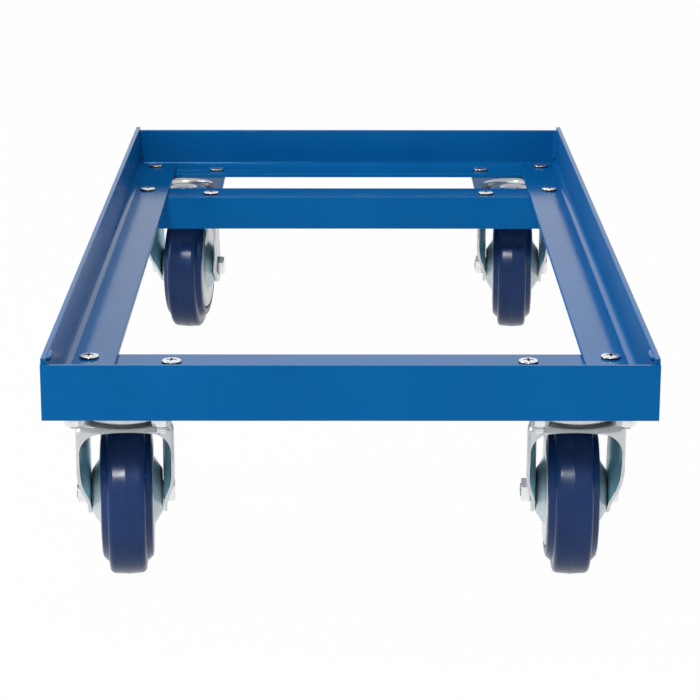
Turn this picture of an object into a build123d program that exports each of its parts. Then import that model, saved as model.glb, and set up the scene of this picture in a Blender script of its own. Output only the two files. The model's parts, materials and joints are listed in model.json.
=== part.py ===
from build123d import *
import os
from math import cos, hypot, pi, radians, tan

os.makedirs("parts", exist_ok=True)

# Dolly for two square milk crates side by side: a welded frame of steel angle on four
# swivel casters. X runs across the dolly, Y along it and Z up. The origin is on the floor
# under the middle of the frame. All sizes are in millimetres.

# Frame of steel angle
WIDTH = 350.0  # outside of the side rails
LENGTH = 690.0  # outside of the end rails
STEEL = 3.0
RAIL_LEG = 33.0  # both legs of the rails' angle
ROOT_RADIUS = 4.5
HEEL_RADIUS = 1.0
TOE_RADIUS = 0.9
CROSS_FLANGE = 32.0
CROSS_LEG = 25.5
CROSS_ROOT_RADIUS = 1.5
CROSS_PLATE_GAP = 0.3  # between a caster plate and the root of the rear cross-member
FRONT_CROSS_OFFSET = 6.0  # the front cross-member stands this much further from its casters
WELD_LEG = 3.2
WELD_FACE_RADIUS = 3.8
WELD_LENGTH = 15.0

# Screws and nuts that hold the casters
SCREW_DIAMETER = 6.0
SCREW_LENGTH = 16.0
SCREW_HEAD_DIAMETER = 12.0
SCREW_HEAD_HEIGHT = 1.9
SCREW_HEAD_RIM = 1.5
SCREW_HEAD_ROUND = 0.6
SCREW_TIP_CHAMFER = 0.8
RECESS_LENGTH = 6.2
RECESS_WIDTH = 1.5
RECESS_DEPTH = 1.5
RECESS_TAPER = 8.0
NUT_FLATS = 10.0
NUT_HEIGHT = 5.0
HOLE_CLEARANCE = 0.2
THREAD_CLEARANCE = 0.05
HEX_SIDES = 6
HEX_CHAMFER_ANGLE = 30.0

# Bolt pattern of a caster and where it sits in the frame
BOLT_PITCH_X = 50.0
BOLT_PITCH_Y = 90.0
SIDE_BOLT_INSET = 16.5  # from the outside of a side rail
END_BOLT_INSET = 18.5  # from the outside of an end rail
PLATE_MARGIN = 7.5  # plate beyond its bolt centres
PLATE_CORNER = 7.0
PLATE_STEEL = 3.0

# Swivel head
BALL_DIAMETER = 5.0
BALL_RING_DIAMETER = 30.0
BALL_COUNT = 16
RACE_DEPTH = 0.8
BALL_SEAT_GAP = 0.05
SWIVEL_GAP = 0.3  # between the fixed and the turning side of the head
DISH_GAP = 0.6  # between the plate's middle and the hat
RING_GAP = 2.2  # between the pressed ring of the plate and the crown
DISH_DEPTH = 11.55  # pressed down from the plate
DISH_SLOPE = 3.0
DISH_VALLEY = 1.1
DISH_BEND = 3.0
HAT_HEIGHT = 7.5  # pressed up from the crown to carry the balls
HAT_MARGIN = 1.0
HAT_BEND = 1.5
KINGPIN_DIAMETER = 12.0
KINGPIN_HEAD = 17.0
KINGPIN_HEAD_HEIGHT = 4.0
KINGPIN_FOOT = 20.0
KINGPIN_FOOT_HEIGHT = 3.0
RUNNING_CLEARANCE = 0.06
LOWER_RACE_DIAMETER = 29.0
LOWER_RACE_STEEL = 2.0

# Wheel
WHEEL_DIAMETER = 101.6
TYRE_WIDTH = 31.0
TREAD_WIDTH = 21.4
TREAD_CORNER = 3.4
TREAD_CROWN = 0.7  # higher along the middle of the tread
TREAD_DEPTH = 7.6  # from the tread down to the shoulder
TREAD_FLARE = 1.0
SHOULDER_HEIGHT = 3.0
SHOULDER_BULGE = 0.6
SIDEWALL_HEIGHT = 4.2
RIM_GROOVE = 1.5  # between the sidewall and the rim
RIM_STEEL = 2.0
RIM_FACE_PROUD = 0.6  # rim face beyond the widest part of the tyre
RIM_BEND = 2.5
DOME_DIAMETER = 42.0
HUB_FACE_DIAMETER = 25.0
HUB_LENGTH = 43.0
BUSH_DIAMETER = 18.0
BUSH_FIT = 0.02
SLEEVE_DIAMETER = 12.0

# Axle
AXLE_DIAMETER = 8.0
AXLE_FLATS = 13.0
AXLE_HEAD_HEIGHT = 5.0
AXLE_NUT_HEIGHT = 6.3
AXLE_STICK_OUT = 0.8

# Fork
TRAIL = 28.0
FORK_STEEL = 2.0
CROWN_CLEARANCE = 3.6  # over the wheel
HUB_SIDE_GAP = 0.4
FLARE = 5.0  # the leg's front edge stands out this far from its axle end
FLARE_START = -17.0
LEG_FLAT = 12.0  # flat of the leg ahead of the axle
CROWN_BEND = 4.0
CROWN_NOSE = -27.0
CROWN_SHOULDER = -21.0
CROWN_CORNER = 5.0
CROWN_BACK = 26.0
ARCH_CORNER = 14.0
ARCH_RISE = 4.0  # of the arch from its sides to its middle
ARCH_DROP = 0.1  # of the crown's front edge
LEG_BROW = 12.0  # the leg's front edge starts to sweep back this far under the crown
LEG_TIP_RADIUS = 14.0
LEG_SWEEP = 5.5  # bulge of the leg's front edge

# How far each caster is turned about its kingpin, in degrees
FRONT_LEFT_ANGLE = 4.0
FRONT_RIGHT_ANGLE = -2.0
REAR_LEFT_ANGLE = -5.5
REAR_RIGHT_ANGLE = -3.5

# Heights of the caster, from the floor up
axle_z = WHEEL_DIAMETER / 2
crown_bottom = WHEEL_DIAMETER + CROWN_CLEARANCE
crown_top = crown_bottom + FORK_STEEL
ball_radius = BALL_DIAMETER / 2
hat_top = crown_top + HAT_HEIGHT
ball_z = hat_top - RACE_DEPTH + BALL_SEAT_GAP + ball_radius
valley_bottom = crown_top + RING_GAP
valley_floor = valley_bottom + PLATE_STEEL
centre_bottom = hat_top + DISH_GAP
centre_floor = centre_bottom + PLATE_STEEL
plate_bottom = valley_bottom + DISH_DEPTH
plate_top = plate_bottom + PLATE_STEEL

# Heights of the frame: side rails lie on the end rails and on the cross-members
low_flange_top = plate_top + STEEL
deck_top = low_flange_top + STEEL

# Bolt rows, measured from the middle of the frame
bolt_x_outer = WIDTH / 2 - SIDE_BOLT_INSET
bolt_x_inner = bolt_x_outer - BOLT_PITCH_X
bolt_y_end = LENGTH / 2 - END_BOLT_INSET
bolt_y_cross = bolt_y_end - BOLT_PITCH_Y
caster_x = bolt_x_outer - BOLT_PITCH_X / 2
caster_y = bolt_y_end - BOLT_PITCH_Y / 2
rear_cross_row = PLATE_MARGIN + CROSS_PLATE_GAP + CROSS_ROOT_RADIUS + STEEL
front_cross_row = rear_cross_row + FRONT_CROSS_OFFSET
screw_hole = SCREW_DIAMETER / 2 + HOLE_CLEARANCE

axle_plane = Plane(origin=(0, TRAIL, axle_z), x_dir=(1, 0, 0), z_dir=(0, 0, 1))
axle_axis = Axis((0, TRAIL, axle_z), (1, 0, 0))
kingpin_plane = Plane.XZ


def write(piece, label):
    piece.label = label
    export_step(piece, f"parts/{label}.step")


# Angle bars, each made with its heel along X, its flange along +Y and its leg along +Z
def angle_bar(length, flange, leg, root, holes, hole_row):
    with BuildPart() as bar:
        with BuildSketch(Plane.YZ) as section:
            with BuildLine():
                Polyline(
                    (0, 0),
                    (flange, 0),
                    (flange, STEEL),
                    (STEEL, STEEL),
                    (STEEL, leg),
                    (0, leg),
                    close=True,
                )
            make_face()
            fillet(section.vertices().sort_by_distance((STEEL, STEEL))[0], root)
            fillet(section.vertices().sort_by_distance((0, 0))[0], HEEL_RADIUS)
            fillet(section.vertices().sort_by_distance((flange, STEEL))[0], TOE_RADIUS)
            fillet(section.vertices().sort_by_distance((STEEL, leg))[0], TOE_RADIUS)
        extrude(amount=length / 2, both=True)
        with Locations([(x, hole_row, STEEL) for x in holes]):
            Hole(screw_hole, depth=STEEL)
    return bar.part


end_holes = [-bolt_x_outer, -bolt_x_inner, bolt_x_inner, bolt_x_outer]
end_rail = angle_bar(WIDTH, RAIL_LEG, RAIL_LEG, ROOT_RADIUS, end_holes, END_BOLT_INSET)
write(end_rail.moved(Location((0, -LENGTH / 2, plate_top))), "front_rail")
write(end_rail.moved(Location((0, LENGTH / 2, plate_top), (0, 0, 180))), "rear_rail")

# The ends of a side rail are notched to clear the root of the end rails
side_length = LENGTH - 2 * STEEL
side_holes = [-bolt_y_end, -bolt_y_cross, bolt_y_cross, bolt_y_end]
with BuildPart() as side_rail:
    add(angle_bar(side_length, RAIL_LEG, RAIL_LEG, ROOT_RADIUS, side_holes, SIDE_BOLT_INSET))
    with GridLocations(side_length, 0, 2, 1):
        Box(2 * ROOT_RADIUS, 2 * RAIL_LEG, 2 * ROOT_RADIUS, mode=Mode.SUBTRACT)
write(side_rail.part.moved(Location((-WIDTH / 2, 0, low_flange_top), (0, 0, -90))), "left_rail")
write(side_rail.part.moved(Location((WIDTH / 2, 0, low_flange_top), (0, 0, 90))), "right_rail")

# The cross-members hang their legs down, on the side of the frame's middle
cross_length = WIDTH - 2 * STEEL
front_cross_face = front_cross_row - bolt_y_cross
front_cross = angle_bar(
    cross_length, CROSS_FLANGE, CROSS_LEG, CROSS_ROOT_RADIUS, end_holes, front_cross_row
)
write(
    front_cross.moved(Location((0, front_cross_face, low_flange_top), (180, 0, 0))),
    "front_cross_member",
)
rear_cross_face = bolt_y_cross - rear_cross_row
rear_cross = angle_bar(
    cross_length, CROSS_FLANGE, CROSS_LEG, CROSS_ROOT_RADIUS, end_holes, rear_cross_row
)
write(
    rear_cross.moved(Location((0, rear_cross_face, low_flange_top), (180, 0, 180))),
    "rear_cross_member",
)

# Fillet welds: one up each inner corner of the lips, one under each end of a cross-member
lip_inside_x = WIDTH / 2 - STEEL
lip_inside_y = LENGTH / 2 - STEEL
weld_bottom = deck_top + ROOT_RADIUS
weld_height = plate_top + RAIL_LEG - TOE_RADIUS - weld_bottom
with BuildPart() as corner_welds:
    with BuildSketch(Plane.XY.offset(weld_bottom)):
        with BuildLine():
            corner = (lip_inside_x, lip_inside_y)
            end_toe = (lip_inside_x - WELD_LEG, lip_inside_y)
            side_toe = (lip_inside_x, lip_inside_y - WELD_LEG)
            Polyline(end_toe, corner, side_toe)
            RadiusArc(side_toe, end_toe, -WELD_FACE_RADIUS)
        make_face()
    extrude(amount=weld_height)
    mirror(about=Plane.XZ)

weld_throat = STEEL - HEEL_RADIUS
cross_weld_rows = [
    front_cross_face - CROSS_FLANGE / 2,
    rear_cross_face + CROSS_FLANGE / 2,
]
with BuildPart() as cross_welds:
    for row in cross_weld_rows:
        with BuildSketch(Plane.XZ.offset(-row)):
            with BuildLine():
                Polyline(
                    (lip_inside_x, low_flange_top),
                    (lip_inside_x + weld_throat, low_flange_top),
                    (lip_inside_x, low_flange_top - weld_throat),
                    close=True,
                )
            make_face()
        extrude(amount=WELD_LENGTH / 2, both=True)

with BuildPart() as frame_welds:
    add(corner_welds.part)
    add(cross_welds.part)
    mirror(about=Plane.YZ)
write(frame_welds.part, "frame_welds")


# Screws and nuts
def hex_prism(flats, height, two_sided):
    """Hexagon on the XY plane with its corners turned down at the top, or at both ends."""
    corner = flats / 2 / cos(pi / HEX_SIDES)
    drop = (corner - flats / 2) * tan(radians(HEX_CHAMFER_ANGLE))
    foot = [(flats / 2, 0), (corner, drop)] if two_sided else [(corner, 0)]
    crown = [(corner, height - drop), (flats / 2, height)]
    with BuildPart() as prism:
        with BuildSketch():
            RegularPolygon(flats / 2, HEX_SIDES, major_radius=False)
        extrude(amount=height)
        with BuildSketch(Plane.XZ):
            with BuildLine():
                Polyline((0, 0), *foot, *crown, (0, height), close=True)
            make_face()
        revolve(axis=Axis.Z, mode=Mode.INTERSECT)
    return prism.part


with BuildPart() as screw:
    head_radius = SCREW_HEAD_DIAMETER / 2
    with BuildSketch(Plane.XZ) as head:
        with BuildLine():
            Polyline((0, SCREW_HEAD_HEIGHT), (0, 0), (head_radius, 0), (head_radius, SCREW_HEAD_RIM))
            TangentArc((0, SCREW_HEAD_HEIGHT), (head_radius, SCREW_HEAD_RIM), tangent=(1, 0))
        make_face()
        fillet(head.vertices().sort_by_distance((head_radius, SCREW_HEAD_RIM))[0], SCREW_HEAD_ROUND)
    revolve(axis=Axis.Z)
    with BuildSketch(Plane.XY.offset(SCREW_HEAD_HEIGHT)):
        Rectangle(RECESS_LENGTH, RECESS_WIDTH)
        Rectangle(RECESS_WIDTH, RECESS_LENGTH)
    extrude(amount=-RECESS_DEPTH, taper=RECESS_TAPER, mode=Mode.SUBTRACT)
    with BuildSketch():
        Circle(SCREW_DIAMETER / 2)
    extrude(amount=-SCREW_LENGTH)
    chamfer(screw.faces().sort_by(Axis.Z)[0].edges(), SCREW_TIP_CHAMFER)

with BuildPart() as nut:
    add(hex_prism(NUT_FLATS, NUT_HEIGHT, True))
    Hole(SCREW_DIAMETER / 2 + THREAD_CLEARANCE)

screw_seats = [
    (side * x, end * y, seat)
    for x, seat in [(bolt_x_outer, deck_top), (bolt_x_inner, low_flange_top)]
    for y in (bolt_y_end, bolt_y_cross)
    for side in (-1, 1)
    for end in (-1, 1)
]
with BuildPart() as caster_screws:
    with Locations(screw_seats):
        add(screw.part)
write(caster_screws.part, "caster_screws")

with BuildPart() as caster_nuts:
    with Locations([(x, y, plate_bottom - NUT_HEIGHT) for x, y, seat in screw_seats]):
        add(nut.part)
write(caster_nuts.part, "caster_nuts")

# Caster pieces, each made once around the kingpin at X = Y = 0 with the wheel trailing to +Y

# Top plate: a ring is pressed down to the crown, and its middle is pressed up again over the balls
hat_radius = BALL_RING_DIAMETER / 2 + ball_radius + HAT_MARGIN
ring_inside = hat_radius + DISH_GAP
valley_inside = ring_inside + PLATE_STEEL
dish_wall = PLATE_STEEL * (hypot(DISH_SLOPE, DISH_DEPTH) - DISH_SLOPE) / DISH_DEPTH
ring_outside = valley_inside + DISH_VALLEY + dish_wall
dish_top_radius = ring_outside + DISH_SLOPE
dish_rim_radius = dish_top_radius + DISH_BEND
rim_bend = (dish_top_radius - dish_wall, plate_top)
ridge_radius = ball_radius + SWIVEL_GAP + PLATE_STEEL
with BuildPart() as top_plate:
    with BuildSketch(Plane.XY.offset(plate_bottom)):
        RectangleRounded(BOLT_PITCH_X + 2 * PLATE_MARGIN, BOLT_PITCH_Y + 2 * PLATE_MARGIN, PLATE_CORNER)
        Circle(dish_rim_radius, mode=Mode.SUBTRACT)
        with GridLocations(BOLT_PITCH_X, BOLT_PITCH_Y, 2, 2):
            Circle(screw_hole, mode=Mode.SUBTRACT)
    extrude(amount=PLATE_STEEL)
    with BuildSketch(kingpin_plane) as dish:
        with BuildLine():
            Polyline(
                (KINGPIN_DIAMETER / 2, centre_bottom),
                (ring_inside, centre_bottom),
                (ring_inside, valley_bottom),
                (ring_outside, valley_bottom),
                (dish_top_radius, plate_bottom),
                (dish_rim_radius, plate_bottom),
                (dish_rim_radius, plate_top),
                rim_bend,
                (ring_outside - dish_wall, valley_floor),
                (valley_inside, valley_floor),
                (valley_inside, centre_floor),
                (KINGPIN_DIAMETER / 2, centre_floor),
                close=True,
            )
        make_face()
        fillet(dish.vertices().sort_by_distance(rim_bend)[0], DISH_BEND)
        fillet(dish.vertices().sort_by_distance((ring_outside, valley_bottom))[0], PLATE_STEEL / 2)
    revolve(axis=Axis.Z)
    with BuildSketch(kingpin_plane):
        with Locations((BALL_RING_DIAMETER / 2, ball_z)):
            Circle(ridge_radius)
        with Locations((BALL_RING_DIAMETER / 2, centre_bottom)):
            Rectangle(
                2 * ridge_radius,
                2 * ridge_radius,
                align=(Align.CENTER, Align.MAX),
                mode=Mode.SUBTRACT,
            )
    revolve(axis=Axis.Z)
    with BuildSketch(kingpin_plane):
        with Locations((BALL_RING_DIAMETER / 2, ball_z)):
            Circle(ball_radius + SWIVEL_GAP)
    revolve(axis=Axis.Z, mode=Mode.SUBTRACT)

with BuildPart() as swivel_balls:
    with Locations((0, 0, ball_z)):
        with PolarLocations(BALL_RING_DIAMETER / 2, BALL_COUNT):
            Sphere(ball_radius)

# Kingpin riveted over the plate and over the lower race
lower_race_top = hat_top - FORK_STEEL - SWIVEL_GAP
lower_race_bottom = lower_race_top - LOWER_RACE_STEEL
with BuildPart() as kingpin:
    shank = KINGPIN_DIAMETER / 2
    head_edge = (KINGPIN_HEAD / 2, centre_floor)
    head_top = (0, centre_floor + KINGPIN_HEAD_HEIGHT)
    foot_edge = (KINGPIN_FOOT / 2, lower_race_bottom)
    foot_bottom = (0, lower_race_bottom - KINGPIN_FOOT_HEIGHT)
    with BuildSketch(kingpin_plane):
        with BuildLine():
            Line(foot_bottom, head_top)
            TangentArc(head_top, head_edge, tangent=(1, 0))
            Polyline(head_edge, (shank, centre_floor), (shank, lower_race_bottom), foot_edge)
            TangentArc(foot_bottom, foot_edge, tangent=(1, 0))
        make_face()
    revolve(axis=Axis.Z)

with BuildPart() as lower_race:
    with BuildSketch(Plane.XY.offset(lower_race_bottom)):
        Circle(LOWER_RACE_DIAMETER / 2)
        Circle(KINGPIN_DIAMETER / 2, mode=Mode.SUBTRACT)
    extrude(amount=LOWER_RACE_STEEL)
    fillet(lower_race.faces().sort_by(Axis.Z)[0].edges().sort_by(SortBy.RADIUS)[-1], LOWER_RACE_STEEL / 2)

# Fork pressed from one sheet: a crown with an arched front, and two legs whose front edges flare
leg_inside = HUB_LENGTH / 2 + HUB_SIDE_GAP
leg_outside = leg_inside + FORK_STEEL
crown_half = leg_outside + FLARE
arch_half = crown_half - FORK_STEEL
arch_top = crown_bottom - ARCH_DROP
leg_flat_y = TRAIL - LEG_FLAT
fork_reach = 2 * WHEEL_DIAMETER
with BuildSketch() as fork_plan:
    with BuildLine():
        rear_edge = Line((leg_outside, fork_reach), (leg_outside, leg_flat_y))
        middle = ((leg_outside + crown_half) / 2, (leg_flat_y + FLARE_START) / 2)
        inner_bend = TangentArc(rear_edge @ 1, middle, tangent=rear_edge % 1)
        outer_bend = TangentArc(inner_bend @ 1, (crown_half, FLARE_START), tangent=inner_bend % 1)
        Line(outer_bend @ 1, (crown_half, CROWN_SHOULDER))
        Line(rear_edge @ 0, (0, fork_reach))
        mirror(about=Plane.YZ)
        ThreePointArc((crown_half, CROWN_SHOULDER), (0, CROWN_NOSE), (-crown_half, CROWN_SHOULDER))
    make_face()
    for side in (-1, 1):
        shoulder = (side * crown_half, CROWN_SHOULDER)
        fillet(fork_plan.vertices().sort_by_distance(shoulder)[0], CROWN_CORNER)
with BuildPart() as fork_cavity:
    with BuildSketch():
        add(fork_plan.sketch)
        offset(amount=-FORK_STEEL, mode=Mode.REPLACE)
    extrude(amount=crown_bottom)
    fillet(fork_cavity.faces().sort_by(Axis.Z)[-1].edges(), CROWN_BEND - FORK_STEEL)
with BuildPart() as fork:
    with BuildSketch():
        add(fork_plan.sketch)
    extrude(amount=crown_top)
    fillet(fork.faces().sort_by(Axis.Z)[-1].edges(), CROWN_BEND)
    add(fork_cavity.part, mode=Mode.SUBTRACT)
    with BuildSketch(Plane.XZ.offset(-FLARE_START)) as arch:
        with BuildLine():
            springing = arch_top - ARCH_RISE
            ThreePointArc((-arch_half, springing), (0, arch_top), (arch_half, springing))
            Polyline((arch_half, springing), (arch_half, 0), (-arch_half, 0), (-arch_half, springing))
        make_face()
        fillet(arch.vertices().group_by(Axis.Y)[-1], ARCH_CORNER)
    extrude(amount=WHEEL_DIAMETER, mode=Mode.SUBTRACT)
    with BuildSketch(Plane.YZ):
        with BuildLine():
            tip = (TRAIL, axle_z - LEG_TIP_RADIUS)
            heel = (TRAIL + LEG_TIP_RADIUS, axle_z)
            brow = (CROWN_SHOULDER - CROWN_CORNER, crown_bottom - LEG_BROW)
            Polyline((CROWN_NOSE, crown_top), (CROWN_NOSE, crown_bottom - LEG_BROW), brow)
            SagittaArc(brow, tip, -LEG_SWEEP)
            TangentArc(tip, heel, tangent=(1, 0))
            Polyline(
                heel,
                (CROWN_BACK, crown_bottom - CROWN_BEND),
                (CROWN_BACK, crown_top),
                (CROWN_NOSE, crown_top),
            )
        make_face()
    extrude(amount=WHEEL_DIAMETER, both=True, mode=Mode.INTERSECT)
    with BuildSketch(Plane.XY.offset(crown_bottom)):
        Circle(hat_radius)
    extrude(amount=hat_top - crown_bottom)
    fillet(fork.faces().sort_by(Axis.Z)[-1].edges(), HAT_BEND)
    with BuildSketch(Plane.XY.offset(crown_bottom)):
        Circle(hat_radius - FORK_STEEL)
    extrude(amount=HAT_HEIGHT, mode=Mode.SUBTRACT)
    with BuildSketch(Plane.XY.offset(crown_bottom)):
        Circle(KINGPIN_DIAMETER / 2 + RUNNING_CLEARANCE)
    extrude(amount=hat_top - crown_bottom, mode=Mode.SUBTRACT)
    with BuildSketch(kingpin_plane):
        with Locations((BALL_RING_DIAMETER / 2, ball_z)):
            Circle(ball_radius + BALL_SEAT_GAP)
    revolve(axis=Axis.Z, mode=Mode.SUBTRACT)
    with BuildSketch(Plane.YZ):
        with Locations((TRAIL, axle_z)):
            Circle(AXLE_DIAMETER / 2 + HOLE_CLEARANCE)
    extrude(amount=WHEEL_DIAMETER, both=True, mode=Mode.SUBTRACT)

# Axle: hexagon-head bolt, nut, and the sleeve that they clamp between the legs
with BuildPart() as axle_bolt:
    add(
        hex_prism(AXLE_FLATS, AXLE_HEAD_HEIGHT, False).moved(
            Location((leg_outside, TRAIL, axle_z), (0, 90, 0))
        )
    )
    with BuildSketch(Plane.YZ.offset(leg_outside)):
        with Locations((TRAIL, axle_z)):
            Circle(AXLE_DIAMETER / 2)
    extrude(amount=-2 * leg_outside - AXLE_NUT_HEIGHT - AXLE_STICK_OUT)
    chamfer(axle_bolt.faces().sort_by(Axis.X)[0].edges(), AXLE_STICK_OUT / 2)

with BuildPart() as axle_nut:
    add(
        hex_prism(AXLE_FLATS, AXLE_NUT_HEIGHT, False).moved(
            Location((-leg_outside, TRAIL, axle_z), (0, -90, 0))
        )
    )
    with BuildSketch(Plane.YZ.offset(-leg_outside)):
        with Locations((TRAIL, axle_z)):
            Circle(AXLE_DIAMETER / 2 + THREAD_CLEARANCE)
    extrude(amount=-AXLE_NUT_HEIGHT, mode=Mode.SUBTRACT)

with BuildPart() as axle_sleeve:
    with BuildSketch(Plane.YZ):
        with Locations((TRAIL, axle_z)):
            Circle(SLEEVE_DIAMETER / 2)
            Circle(AXLE_DIAMETER / 2 + THREAD_CLEARANCE, mode=Mode.SUBTRACT)
    extrude(amount=leg_inside, both=True)

# Wheel: bush, two pressed rim halves and a rubber tyre
with BuildPart() as wheel_bush:
    with BuildSketch(Plane.YZ):
        with Locations((TRAIL, axle_z)):
            Circle(BUSH_DIAMETER / 2)
            Circle(SLEEVE_DIAMETER / 2 + RUNNING_CLEARANCE, mode=Mode.SUBTRACT)
    extrude(amount=HUB_LENGTH / 2, both=True)

tyre_radius = WHEEL_DIAMETER / 2
shoulder_radius = tyre_radius - TREAD_DEPTH
wide_radius = shoulder_radius - SHOULDER_HEIGHT
sidewall_foot = wide_radius - SIDEWALL_HEIGHT
rim_radius = sidewall_foot - RIM_GROOVE
rim_half_steel = RIM_STEEL / 2
rim_face = TYRE_WIDTH / 2 + RIM_FACE_PROUD
with BuildPart() as rim_right:
    with BuildSketch(axle_plane):
        with BuildLine():
            FilletPolyline(
                (HUB_LENGTH / 2 - rim_half_steel, BUSH_DIAMETER / 2 + BUSH_FIT),
                (HUB_LENGTH / 2 - rim_half_steel, HUB_FACE_DIAMETER / 2),
                (rim_face - rim_half_steel, DOME_DIAMETER / 2),
                (rim_face - rim_half_steel, rim_radius - rim_half_steel),
                (0, rim_radius - rim_half_steel),
                radius=RIM_BEND,
            )
        trace(line_width=RIM_STEEL)
    revolve(axis=axle_axis)
with BuildPart() as rim_left:
    add(rim_right.part)
    mirror(about=Plane.YZ, mode=Mode.REPLACE)

seat_radius = rim_radius + BUSH_FIT
rim_corner = rim_face - RIM_STEEL - RIM_BEND
with BuildPart() as tyre:
    with BuildSketch(axle_plane) as tread:
        with BuildLine():
            Polyline(
                (0, tyre_radius),
                (TREAD_WIDTH / 2, tyre_radius - TREAD_CROWN),
                (TREAD_WIDTH / 2 + TREAD_FLARE, shoulder_radius),
                (TYRE_WIDTH / 2 - SHOULDER_BULGE, wide_radius),
                (TYRE_WIDTH / 2, wide_radius - SIDEWALL_HEIGHT / 2),
                (TYRE_WIDTH / 2 - SHOULDER_BULGE, sidewall_foot),
                (rim_corner, seat_radius),
                (0, seat_radius),
            )
            mirror(about=Plane.YZ)
        make_face()
        for edge in (-TREAD_WIDTH / 2, TREAD_WIDTH / 2):
            corner = axle_plane.from_local_coords((edge, tyre_radius - TREAD_CROWN))
            fillet(tread.vertices().sort_by_distance(corner)[0], TREAD_CORNER)
    revolve(axis=axle_axis)

# The four casters: the plate side is square to the frame, the rest turns with the fork
fixed_pieces = {"top_plate": top_plate, "kingpin": kingpin, "lower_race": lower_race}
turning_pieces = {
    "swivel_balls": swivel_balls,
    "fork": fork,
    "axle_bolt": axle_bolt,
    "axle_nut": axle_nut,
    "axle_sleeve": axle_sleeve,
    "wheel_bush": wheel_bush,
    "rim_left": rim_left,
    "rim_right": rim_right,
    "tyre": tyre,
}
casters = {
    "front_left": (-caster_x, -caster_y, FRONT_LEFT_ANGLE),
    "front_right": (caster_x, -caster_y, FRONT_RIGHT_ANGLE),
    "rear_left": (-caster_x, caster_y, REAR_LEFT_ANGLE),
    "rear_right": (caster_x, caster_y, REAR_RIGHT_ANGLE),
}
for caster, (x, y, turn) in casters.items():
    place = (x, y, 0)
    for label, piece in fixed_pieces.items():
        write(piece.part.moved(Location(place)), f"{caster}_{label}")
    for label, piece in turning_pieces.items():
        write(piece.part.moved(Location(place, (0, 0, turn))), f"{caster}_{label}")
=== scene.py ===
"""Looks of the milk crate dolly: materials, small surface details, light, floor and camera."""
import json
import math

import bmesh
import bpy
from mathutils import Matrix, Vector


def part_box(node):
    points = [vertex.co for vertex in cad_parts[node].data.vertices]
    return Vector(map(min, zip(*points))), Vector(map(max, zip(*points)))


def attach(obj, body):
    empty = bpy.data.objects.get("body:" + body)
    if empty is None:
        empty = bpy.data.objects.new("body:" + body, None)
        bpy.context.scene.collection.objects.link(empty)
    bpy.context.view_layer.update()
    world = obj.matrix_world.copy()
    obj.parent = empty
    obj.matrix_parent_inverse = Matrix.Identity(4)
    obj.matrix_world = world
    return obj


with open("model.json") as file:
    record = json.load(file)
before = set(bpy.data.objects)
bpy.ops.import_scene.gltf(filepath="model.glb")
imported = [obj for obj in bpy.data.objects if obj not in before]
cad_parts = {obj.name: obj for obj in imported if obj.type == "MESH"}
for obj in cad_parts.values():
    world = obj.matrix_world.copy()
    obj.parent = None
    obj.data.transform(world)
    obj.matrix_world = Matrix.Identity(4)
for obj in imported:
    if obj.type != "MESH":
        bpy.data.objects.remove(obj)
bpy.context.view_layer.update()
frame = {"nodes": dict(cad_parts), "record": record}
nodes = frame["nodes"]

joints = {joint["name"]: joint for joint in frame["record"]["behaviour"]["joints"]}
CASTERS = ("front_left", "front_right", "rear_left", "rear_right")
FRAME_NODES = (
    "front_rail",
    "rear_rail",
    "left_rail",
    "right_rail",
    "front_cross_member",
    "rear_cross_member",
    "frame_welds",
)
MM = 0.001
UP = Vector((0, 0, 1))


# Materials
WHITE = (1, 1, 1)
BLUE, BLUE_DEEP, BLUE_PALE = (0.002, 0.109, 0.33), (0.0017, 0.1, 0.307), (0.0024, 0.114, 0.339)
BLUE_GLOSS = (0.15, 0.45, 0.78)  # tint of the paint's reflections
NAVY, NAVY_DEEP, NAVY_PALE = (0.009, 0.033, 0.118), (0.0075, 0.028, 0.104), (0.0105, 0.038, 0.132)
ZINC, ZINC_DULL = (0.65, 0.665, 0.675), (0.58, 0.605, 0.62)
# painted shade: in corners of zinc, and on the top plates near the steel lying on them and down the dish
CORNER_SHADE, DISH_SHADE = (0.3, 0.32, 0.34), (0.1, 0.11, 0.12)
# painted shade in the recesses and corners of fasteners
RECESS_SHADE = (0.03, 0.035, 0.045)
# painted glint deep in the screws' cross recesses
RECESS_GLINT = (0.7, 0.7, 0.7)
OPEN_FACE_LIGHT = (1.3, 1.3, 1.3)  # painted light: fasteners brighter on their open faces, away from corners
# painted teal reflections: of the navy wheel on the fork faces turned to it, and on the hubs of the
# wheel discs
WHEEL_REFLECTION_TEAL, HUB_REFLECTION_TEAL = (0.65, 1.2, 1.4), (0.86, 0.98, 1.0)
HUB_EDGE, HUB_FADE = 0.021, 0.003  # radius at which the painted teal reflection on a wheel disc ends, and its fade
BLACK_PLASTIC = (0.022, 0.022, 0.024)
STEEL = (0.56, 0.56, 0.57)
PAINT_IOR, PLAIN_IOR = 1.27, 1.5


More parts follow.
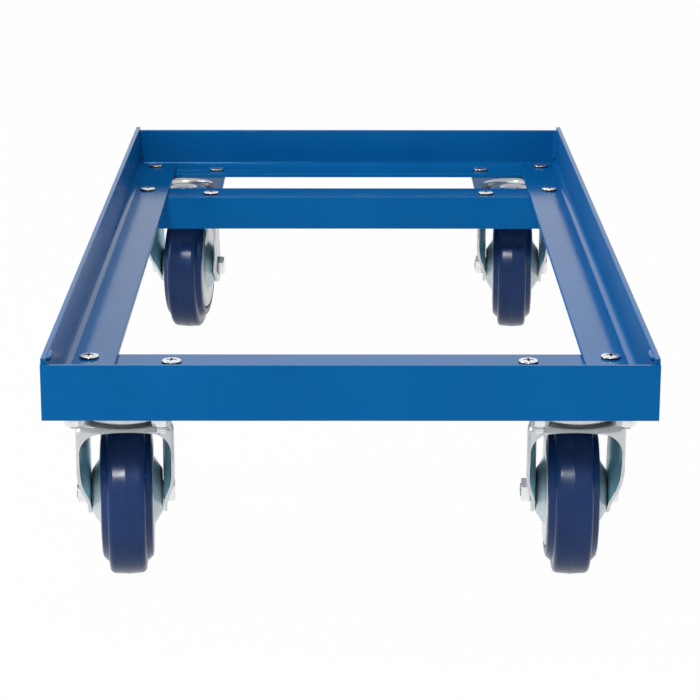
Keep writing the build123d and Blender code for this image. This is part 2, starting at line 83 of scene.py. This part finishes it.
class Shader:
    """A Principled material under construction, with its nodes wired by short calls."""

    def __init__(self, name, colour, metallic, roughness, ior, tint=WHITE):
        self.material = bpy.data.materials.new(name)
        self.material.use_nodes = True
        self.tree = self.material.node_tree
        self.bsdf = self.tree.nodes["Principled BSDF"]
        self.bsdf.inputs["Base Color"].default_value = (*colour, 1)
        self.bsdf.inputs["Metallic"].default_value = metallic
        self.bsdf.inputs["Roughness"].default_value = roughness
        self.bsdf.inputs["IOR"].default_value = ior
        self.bsdf.inputs["Specular Tint"].default_value = (*tint, 1)
        coordinates = self.tree.nodes.new("ShaderNodeTexCoord")
        self.place, self.normal = coordinates.outputs["Object"], coordinates.outputs["Normal"]

    def link(self, source, target):
        self.tree.links.new(source, target)

    def noise(self, scale, detail=2.0, roughness=0.5, stretch=None):
        node = self.tree.nodes.new("ShaderNodeTexNoise")
        node.inputs["Scale"].default_value = scale
        node.inputs["Detail"].default_value = detail
        node.inputs["Roughness"].default_value = roughness
        if stretch is None:
            self.link(self.place, node.inputs["Vector"])
        else:
            mapping = self.tree.nodes.new("ShaderNodeMapping")
            mapping.inputs["Scale"].default_value = stretch
            self.link(self.place, mapping.inputs["Vector"])
            self.link(mapping.outputs["Vector"], node.inputs["Vector"])
        return node.outputs["Fac"]

    def along(self, vector, direction, origin=(0, 0, 0)):
        """How far a place, or a normal, reaches in a direction."""
        offset = self.tree.nodes.new("ShaderNodeVectorMath")
        offset.operation = "SUBTRACT"
        offset.inputs[1].default_value = origin
        self.link(vector, offset.inputs[0])
        reach = self.tree.nodes.new("ShaderNodeVectorMath")
        reach.operation = "DOT_PRODUCT"
        reach.inputs[1].default_value = direction
        self.link(offset.outputs["Vector"], reach.inputs[0])
        return reach.outputs["Value"]

    def number(self, operation, first, second=None):
        node = self.tree.nodes.new("ShaderNodeMath")
        node.operation = operation
        self.link(first, node.inputs[0])
        if second is not None:
            self.link(second, node.inputs[1])
        return node.outputs["Value"]

    def openness(self, reach):
        """1 in the open, falling to 0 in corners and recesses narrower than reach."""
        node = self.tree.nodes.new("ShaderNodeAmbientOcclusion")
        node.samples = 8
        node.inputs["Distance"].default_value = reach
        return node.outputs["AO"]

    def ramp(self, value, low, high, start=0.3, end=0.7):
        node = self.tree.nodes.new("ShaderNodeMapRange")
        node.inputs["From Min"].default_value = start
        node.inputs["From Max"].default_value = end
        node.inputs["To Min"].default_value = low
        node.inputs["To Max"].default_value = high
        self.link(value, node.inputs["Value"])
        return node.outputs["Result"]

    def colours(self, value, *stops):
        node = self.tree.nodes.new("ShaderNodeValToRGB")
        elements = node.color_ramp.elements
        while len(elements) < len(stops):
            elements.new(0.5)
        for element, (position, colour) in zip(elements, stops):
            element.position = position
            element.color = (*colour, 1)
        self.link(value, node.inputs["Fac"])
        return node.outputs["Color"]

    def multiply(self, first, second):
        node = self.tree.nodes.new("ShaderNodeMix")
        node.data_type = "RGBA"
        node.blend_type = "MULTIPLY"
        node.inputs["Factor"].default_value = 1
        colour_sockets = [i for i in node.inputs if i.type == "RGBA"]
        self.link(first, colour_sockets[0])
        self.link(second, colour_sockets[1])
        return next(o for o in node.outputs if o.type == "RGBA")

    def paint(self, colour):
        self.link(colour, self.bsdf.inputs["Base Color"])

    def rough(self, value):
        self.link(value, self.bsdf.inputs["Roughness"])

    def bump(self, value, distance, strength, below=None):
        node = self.tree.nodes.new("ShaderNodeBump")
        node.inputs["Distance"].default_value = distance
        node.inputs["Strength"].default_value = strength
        self.link(value, node.inputs["Height"])
        if below is not None:
            self.link(below, node.inputs["Normal"])
        self.link(node.outputs["Normal"], self.bsdf.inputs["Normal"])
        return node.outputs["Normal"]


def powder_coat():
    """Glossy blue paint with orange peel, rougher on the faces that look to the sides."""
    s = Shader("powder_coat", BLUE, metallic=0.0, roughness=0.1, ior=PAINT_IOR, tint=BLUE_GLOSS)
    s.paint(s.colours(s.noise(14.0, detail=3.0), (0.3, BLUE_DEEP), (0.7, BLUE_PALE)))
    roughness = s.ramp(s.noise(60.0, detail=3.0), low=0.07, high=0.12)
    for across, more in ((1, 0.2), (-1, 0.5)):
        turned = s.along(s.normal, (across, 0, 0))
        sideways = s.ramp(turned, low=0.0, high=more, start=0.5, end=0.9)
        roughness = s.number("ADD", roughness, sideways)
    s.rough(roughness)
    peel = s.bump(s.noise(420.0, detail=1.0), distance=0.00025, strength=0.16)
    s.bump(s.noise(1500.0), distance=0.00008, strength=0.25, below=peel)
    return s.material


def zinc_plate(name, metallic, smooth, dull):
    """Bright zinc with faint spangle and painted shade in corners; its colour, spangle times the painted
    corner shade, is kept on the shader.
    """
    s = Shader(name, ZINC, metallic, roughness=smooth, ior=PLAIN_IOR)
    spangle = s.colours(s.noise(260.0, detail=4.0, roughness=0.6), (0.3, ZINC_DULL), (0.62, ZINC))
    # painted shade in corners and recesses narrower than the reach
    corners = s.colours(s.openness(reach=0.004), (0.12, CORNER_SHADE), (0.5, WHITE))
    s.patches = s.multiply(spangle, corners)
    s.paint(s.patches)
    s.rough(s.ramp(s.noise(160.0, detail=4.0), low=smooth, high=dull))
    waves = s.bump(s.noise(110.0), distance=0.0004, strength=0.12)
    grain = s.noise(900.0, stretch=(1.0, 1.0, 0.35))
    s.bump(grain, distance=0.00008, strength=0.2, below=waves)
    return s


def plate_zinc():
    """Zinc with painted shade on its upper side towards the steel lying on it and down the pressed dish.
    """
    s = zinc_plate("plate_zinc", metallic=0.8, smooth=0.1, dull=0.2)
    underside = s.ramp(s.along(s.normal, UP), low=1.0, high=0.0, start=-0.2, end=0.3)
    # painted shade: open faces and undersides stay unshaded, upper faces in corners darken
    bare = s.number("MAXIMUM", s.openness(reach=0.006), underside)
    s.paint(s.multiply(s.patches, s.colours(bare, (0.45, DISH_SHADE), (0.9, WHITE))))
    return s.material


def fastener_zinc(name, reach, *shade_and_light_stops):
    """Zinc whose colour follows the colour stops given after reach: painted shade in recesses and
    corners, painted light on open faces, and for screws a painted glint.
    """
    s = zinc_plate(name, metallic=0.92, smooth=0.15, dull=0.26)
    s.paint(s.multiply(s.patches, s.colours(s.openness(reach), *shade_and_light_stops)))
    return s.material


def rim_zinc(caster):
    """Zinc with a painted teal reflection on the hub of the wheel disc."""
    s = zinc_plate(f"{caster}_rim_zinc", metallic=0.25, smooth=0.16, dull=0.26)
    axle = joints[f"{caster}_roll"]
    x, y, _ = axle["axis"]
    across = [s.along(s.place, direction, axle["pos_m"]) for direction in ((-y, x, 0), UP)]
    squares = [s.number("MULTIPLY", a, a) for a in across]
    radius = s.number("SQRT", s.number("ADD", *squares))
    outside = s.ramp(radius, low=0.0, high=1.0, start=HUB_EDGE - HUB_FADE, end=HUB_EDGE + HUB_FADE)
    # painted teal reflection inside HUB_EDGE
    s.paint(s.multiply(s.patches, s.colours(outside, (0, HUB_REFLECTION_TEAL), (1, WHITE))))
    return s.material


def fork_zinc(caster):
    """Zinc with a painted teal reflection of the navy wheel on the faces that are turned to the wheel.
    """
    s = zinc_plate(f"{caster}_fork_zinc", metallic=0.75, smooth=0.26, dull=0.38)
    axle = joints[f"{caster}_roll"]
    side = s.number("SIGN", s.along(s.place, axle["axis"], axle["pos_m"]))
    outward = s.number("MULTIPLY", side, s.along(s.normal, axle["axis"]))
    inward = s.ramp(outward, low=1.0, high=0.0, start=-0.75, end=-0.2)
    # painted teal reflection on the faces turned to the wheel
    s.paint(s.multiply(s.patches, s.colours(inward, (0, WHITE), (1, WHEEL_REFLECTION_TEAL))))
    return s.material


def navy_rubber():
    s = Shader("navy_rubber", NAVY, metallic=0.0, roughness=0.3, ior=PAINT_IOR)
    s.paint(s.colours(s.noise(45.0, detail=4.0), (0.3, NAVY_DEEP), (0.7, NAVY_PALE)))
    s.rough(s.ramp(s.noise(130.0, detail=5.0), low=0.18, high=0.28))
    s.bump(s.noise(700.0, detail=3.0), distance=0.00012, strength=0.2)
    return s.material


def bush_plastic():
    s = Shader("bush_plastic", BLACK_PLASTIC, metallic=0.0, roughness=0.5, ior=PLAIN_IOR)
    s.rough(s.ramp(s.noise(200.0), low=0.42, high=0.56))
    s.bump(s.noise(1200.0), distance=0.00008, strength=0.2)
    return s.material


def bare_steel():
    s = Shader("bare_steel", STEEL, metallic=1.0, roughness=0.14, ior=PLAIN_IOR)
    s.rough(s.ramp(s.noise(300.0), low=0.1, high=0.2))
    s.bump(s.noise(900.0), distance=0.00004, strength=0.15)
    return s.material


def dress(node, material):
    """Gives a CAD node one material."""
    mesh = nodes[node].data
    mesh.materials.clear()
    mesh.materials.append(material)


coat, rubber, plastic, steel = powder_coat(), navy_rubber(), bush_plastic(), bare_steel()
zinc = zinc_plate("zinc_plate", metallic=0.8, smooth=0.1, dull=0.2).material
# fasteners: painted shade in corners, painted light on open faces
fasteners = fastener_zinc("fastener_zinc", 0.003, (0.52, RECESS_SHADE), (0.82, OPEN_FACE_LIGHT))
# screws: painted glint deep in the cross recess, painted shade around it and in corners, painted light
# on open faces
screws = fastener_zinc(
    "screw_zinc", 0.008, (0.3, RECESS_GLINT), (0.48, RECESS_SHADE), (0.64, RECESS_SHADE), (0.86, OPEN_FACE_LIGHT)
)
for node in FRAME_NODES:
    dress(node, coat)
dress("caster_screws", screws)
dress("caster_nuts", fasteners)
CASTER_COATS = {
    "top_plate": plate_zinc(),
    "kingpin": zinc,
    "lower_race": zinc,
    "axle_bolt": fasteners,
    "axle_nut": fasteners,
    "axle_sleeve": zinc,
    "tyre": rubber,
    "wheel_bush": plastic,
    "swivel_balls": steel,
}
for caster in CASTERS:
    for piece, material in CASTER_COATS.items():
        dress(f"{caster}_{piece}", material)
    dress(f"{caster}_fork", fork_zinc(caster))
    disc = rim_zinc(caster)
    dress(f"{caster}_rim_left", disc)
    dress(f"{caster}_rim_right", disc)


# Small surface details. Lengths in metres:
BOLT_REACH = (0.025, 0.045)  # from a kingpin to its caster screws
RAIL_STEEL = 0.003
THREAD_PITCH = 0.001
# Lengths in millimetres:
MOULD_SECTION = (  # along the axle, and beyond the tread
    (-0.55, -0.3),
    (-0.4, 0.0),
    (-0.15, 0.12),
    (0.15, 0.12),
    (0.4, 0.0),
    (0.55, -0.3),
)
MOULD_STEPS = 240
THREAD_ROOT, THREAD_BASE, THREAD_CREST = 2.75, 2.9, 0.3  # two radii, and a height on the second
THREAD_HALF_WIDTH = 0.45
THREAD_STEPS = 20  # in a turn
THREAD_RUN_OUT = 12  # steps over which the thread dies away at the tip
NUT_OVERLAP, TIP_MARGIN = 0.6, 0.5
NUB_PLACE, NUB_DROP = 15.5, 0.5  # behind the front rail's face, and below the lip's top
NUB_REACH, NUB_SWELL = 9, 2.6
NUB_STEPS = 16  # in half of its length
NUB_RIPPLE, NUB_RIPPLES = 0.12, 11  # share of the swell, and how fast it comes and goes
NUB_SECTION = (  # out from the lip, where a positive value is a share of the swell, and up from the top
    (-0.8, 0),
    (0.55, 0),
    (0.82, -0.3),
    (0.98, -0.9),
    (0.92, -1.7),
    (0.65, -2.6),
    (0.2, -3.5),
    (-0.8, -3.7),
)


def closed_piece(name, shells, material, body):
    """One piece of closed shells, each a run of rings of points, capped at its ends or joined up."""
    mesh = bpy.data.meshes.new(name)
    shape = bmesh.new()
    for rings, joined in shells:
        rings = [[shape.verts.new(point) for point in ring] for ring in rings]
        size = len(rings[0])
        follow = rings[1:] + rings[:1] if joined else rings[1:]
        for ring, after in zip(rings, follow):
            for j in range(size):
                k = (j + 1) % size
                shape.faces.new((ring[j], ring[k], after[k], after[j]))
        if not joined:
            shape.faces.new(rings[0])
            shape.faces.new(rings[-1])
    for face in shape.faces:
        face.smooth = True
    bmesh.ops.recalc_face_normals(shape, faces=shape.faces)
    shape.to_mesh(mesh)
    shape.free()
    mesh.materials.append(material)
    piece = bpy.data.objects.new(name, mesh)
    bpy.context.scene.collection.objects.link(piece)
    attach(piece, body)


def mould_line(caster):
    """The flash that the two halves of the mould leave round the middle of the tread."""
    axle = joints[f"{caster}_roll"]
    middle, along = Vector(axle["pos_m"]), Vector(axle["axis"])
    ahead = UP.cross(along)
    low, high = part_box(f"{caster}_tyre")
    tread = (high[2] - low[2]) / 2
    rings = []
    for step in range(MOULD_STEPS):
        turn = math.tau * step / MOULD_STEPS
        spoke = ahead * math.cos(turn) + UP * math.sin(turn)
        rings.append([middle + along * (a * MM) + spoke * (tread + r * MM) for a, r in MOULD_SECTION])
    closed_piece(f"{caster}_mould_line", [(rings, True)], rubber, f"{caster}_wheel")


def thread(x, y, top, tip):
    """A helix of thread on the end of a caster screw."""
    steps = round((top - tip) / THREAD_PITCH * THREAD_STEPS)
    half_width = UP * (THREAD_HALF_WIDTH * MM)
    rings = []
    for step in range(steps + 1):
        turn = math.tau * step / THREAD_STEPS
        spoke = Vector((math.cos(turn), math.sin(turn), 0))
        place = Vector((x, y, top - THREAD_PITCH * step / THREAD_STEPS))
        height = min(1.0, (steps - step) / THREAD_RUN_OUT)
        rings.append([
            place + spoke * (THREAD_ROOT * MM) + half_width,
            place + spoke * ((THREAD_BASE + THREAD_CREST * height) * MM),
            place + spoke * (THREAD_ROOT * MM) - half_width,
        ])
    return rings, False


def screw_threads():
    """The threads of all the caster screws, from inside their nuts to their tips."""
    tip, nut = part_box("caster_screws")[0][2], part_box("caster_nuts")[0][2]
    shells = []
    for caster in CASTERS:
        x, y, _ = joints[f"{caster}_swivel"]["pos_m"]
        for across in (-BOLT_REACH[0], BOLT_REACH[0]):
            outer = x * across > 0  # through a side rail, which lies on the other steel
            for forth in (-BOLT_REACH[1], BOLT_REACH[1]):
                end = tip + (RAIL_STEEL if outer else 0) + TIP_MARGIN * MM
                shells.append(thread(x + across, y + forth, nut + NUT_OVERLAP * MM, end))
    closed_piece("screw_threads", shells, fasteners, "frame")


def weld_nub(side):
    """The lumpy end of a corner weld, a small ledge at the top of a side lip by the front rail."""
    lip = side * (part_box("right_rail")[1][0] - RAIL_STEEL)
    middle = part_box("front_rail")[0][1] + NUB_PLACE * MM
    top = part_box("right_rail")[1][2] - NUB_DROP * MM
    rings = []
    for step in range(1, 2 * NUB_STEPS):
        share = step / NUB_STEPS - 1
        ripple = 1 + NUB_RIPPLE * math.sin(NUB_RIPPLES * share + side)
        swell = NUB_SWELL * math.sqrt(1 - share * share) * ripple
        y = middle + NUB_REACH * share * MM
        ring = []
        for out, up in NUB_SECTION:
            out = out * swell if out > 0 else out
            ring.append((lip - side * out * MM, y, top + up * swell / NUB_SWELL * MM))
        rings.append(ring)
    return rings, False


for caster in CASTERS:
    mould_line(caster)
screw_threads()
closed_piece("weld_nubs", [weld_nub(side) for side in (-1, 1)], coat, "frame")


# Floor and light
FLOOR_HALF = 14.0
FLOOR_GREY = (0.84, 0.84, 0.84)
WHITE_SHARE = 0.975  # of the floor's look; the rest is its lit surface, with the shadow
SKY_LIGHT = 0.4
CEILING = 0.55  # how bright reflections see the studio overhead; its walls are white
CEILING_START, CEILING_END = 0.5, 0.85  # heights on the sky between which the walls become ceiling
DOLLY_MIDDLE = (0, 0, 0.1)


def seen_directly(tree):
    """1 on rays of the camera and of reflections, 0 on those that only carry light."""
    path = tree.nodes.new("ShaderNodeLightPath")
    seen = path.outputs["Is Camera Ray"]
    for ray in ("Is Glossy Ray", "Is Transmission Ray"):
        either = tree.nodes.new("ShaderNodeMath")
        either.operation = "MAXIMUM"
        tree.links.new(seen, either.inputs[0])
        tree.links.new(path.outputs[ray], either.inputs[1])
        seen = either.outputs[0]
    return seen


def scaled(tree, value, factor, offset=0.0):
    node = tree.nodes.new("ShaderNodeMath")
    node.operation = "MULTIPLY_ADD"
    node.inputs[1].default_value = factor
    node.inputs[2].default_value = offset
    tree.links.new(value, node.inputs[0])
    return node.outputs[0]


def product(tree, first, second):
    node = tree.nodes.new("ShaderNodeMath")
    node.operation = "MULTIPLY"
    tree.links.new(first, node.inputs[0])
    tree.links.new(second, node.inputs[1])
    return node.outputs[0]


floor_mesh = bpy.data.meshes.new("floor")
floor_mesh.from_pydata(
    [(x * FLOOR_HALF, y * FLOOR_HALF, 0) for x, y in ((-1, -1), (1, -1), (1, 1), (-1, 1))],
    [],
    [(0, 1, 2, 3)],
)
floor = bpy.data.objects.new("floor", floor_mesh)
bpy.context.scene.collection.objects.link(floor)
floor_paint = Shader("pale_floor", FLOOR_GREY, metallic=0.0, roughness=0.9, ior=1.3)
tree = floor_paint.tree
white = tree.nodes.new("ShaderNodeEmission")
mix = tree.nodes.new("ShaderNodeMixShader")
tree.links.new(scaled(tree, seen_directly(tree), WHITE_SHARE), mix.inputs["Fac"])
tree.links.new(floor_paint.bsdf.outputs["BSDF"], mix.inputs[1])
tree.links.new(white.outputs["Emission"], mix.inputs[2])
tree.links.new(mix.outputs["Shader"], tree.nodes["Material Output"].inputs["Surface"])
floor_mesh.materials.append(floor_paint.material)

world = bpy.data.worlds.new("studio")
world.use_nodes = True
tree = world.node_tree
sky = tree.nodes["Background"]
sky.inputs["Color"].default_value = (*WHITE, 1)
direction = tree.nodes.new("ShaderNodeSeparateXYZ")
tree.links.new(tree.nodes.new("ShaderNodeTexCoord").outputs["Generated"], direction.inputs[0])
overhead = tree.nodes.new("ShaderNodeMapRange")
overhead.interpolation_type = "SMOOTHSTEP"
overhead.inputs["From Min"].default_value = CEILING_START
overhead.inputs["From Max"].default_value = CEILING_END
tree.links.new(direction.outputs["Z"], overhead.inputs["Value"])
glossy = tree.nodes.new("ShaderNodeLightPath").outputs["Is Glossy Ray"]
reflected = product(tree, overhead.outputs["Result"], glossy)
light_share = scaled(tree, seen_directly(tree), 1 - SKY_LIGHT, SKY_LIGHT)
ceiling_share = scaled(tree, reflected, CEILING - 1, 1)
tree.links.new(product(tree, light_share, ceiling_share), sky.inputs["Strength"])
bpy.context.scene.world = world


def softbox(name, place, size, watts):
    """A square light that looks at the dolly."""
    light = bpy.data.lights.new(name, "AREA")
    light.shape = "SQUARE"
    light.size = size
    light.energy = watts
    box = bpy.data.objects.new(name, light)
    box.location = place
    box.rotation_euler = (Vector(DOLLY_MIDDLE) - Vector(place)).to_track_quat("-Z", "Y").to_euler()
    bpy.context.scene.collection.objects.link(box)
    return box


softbox("key_softbox", place=(-0.3, -1.9, 1.52), size=0.26, watts=23.5)
softbox("left_softbox", place=(-1.9, -0.2, 1.05), size=1.2, watts=22)
top_box = softbox("top_softbox", place=(0, 0, 2.4), size=1.5, watts=12)
top_box.visible_glossy = False


# Camera fitted to the photograph
YAW, PITCH, ROLL = 0.00279, 0.28062, -0.00124
CAMERA_PLACE = Vector((-0.004086, -1.693544, 0.554735))
FOCAL_PIXELS = 2497.67
IMAGE_PIXELS = 700
SENSOR_MM = 36
NEAR, FAR = 0.05, 60
ahead = Vector((math.sin(YAW) * math.cos(PITCH), math.cos(YAW) * math.cos(PITCH), -math.sin(PITCH)))
level = Vector((math.cos(YAW), -math.sin(YAW), 0))
fall = ahead.cross(level)
right = math.cos(ROLL) * level + math.sin(ROLL) * fall
down = -math.sin(ROLL) * level + math.cos(ROLL) * fall
camera = bpy.data.cameras.new("camera")
camera.sensor_width = SENSOR_MM
camera.lens = FOCAL_PIXELS / IMAGE_PIXELS * SENSOR_MM
camera.clip_start = NEAR
camera.clip_end = FAR
eye = bpy.data.objects.new("camera", camera)
turn = Matrix((right, -down, -ahead)).transposed().to_4x4()
eye.matrix_world = Matrix.Translation(CAMERA_PLACE) @ turn
bpy.context.scene.collection.objects.link(eye)
bpy.context.scene.camera = eye
bpy.context.scene.view_settings.view_transform = "Standard"
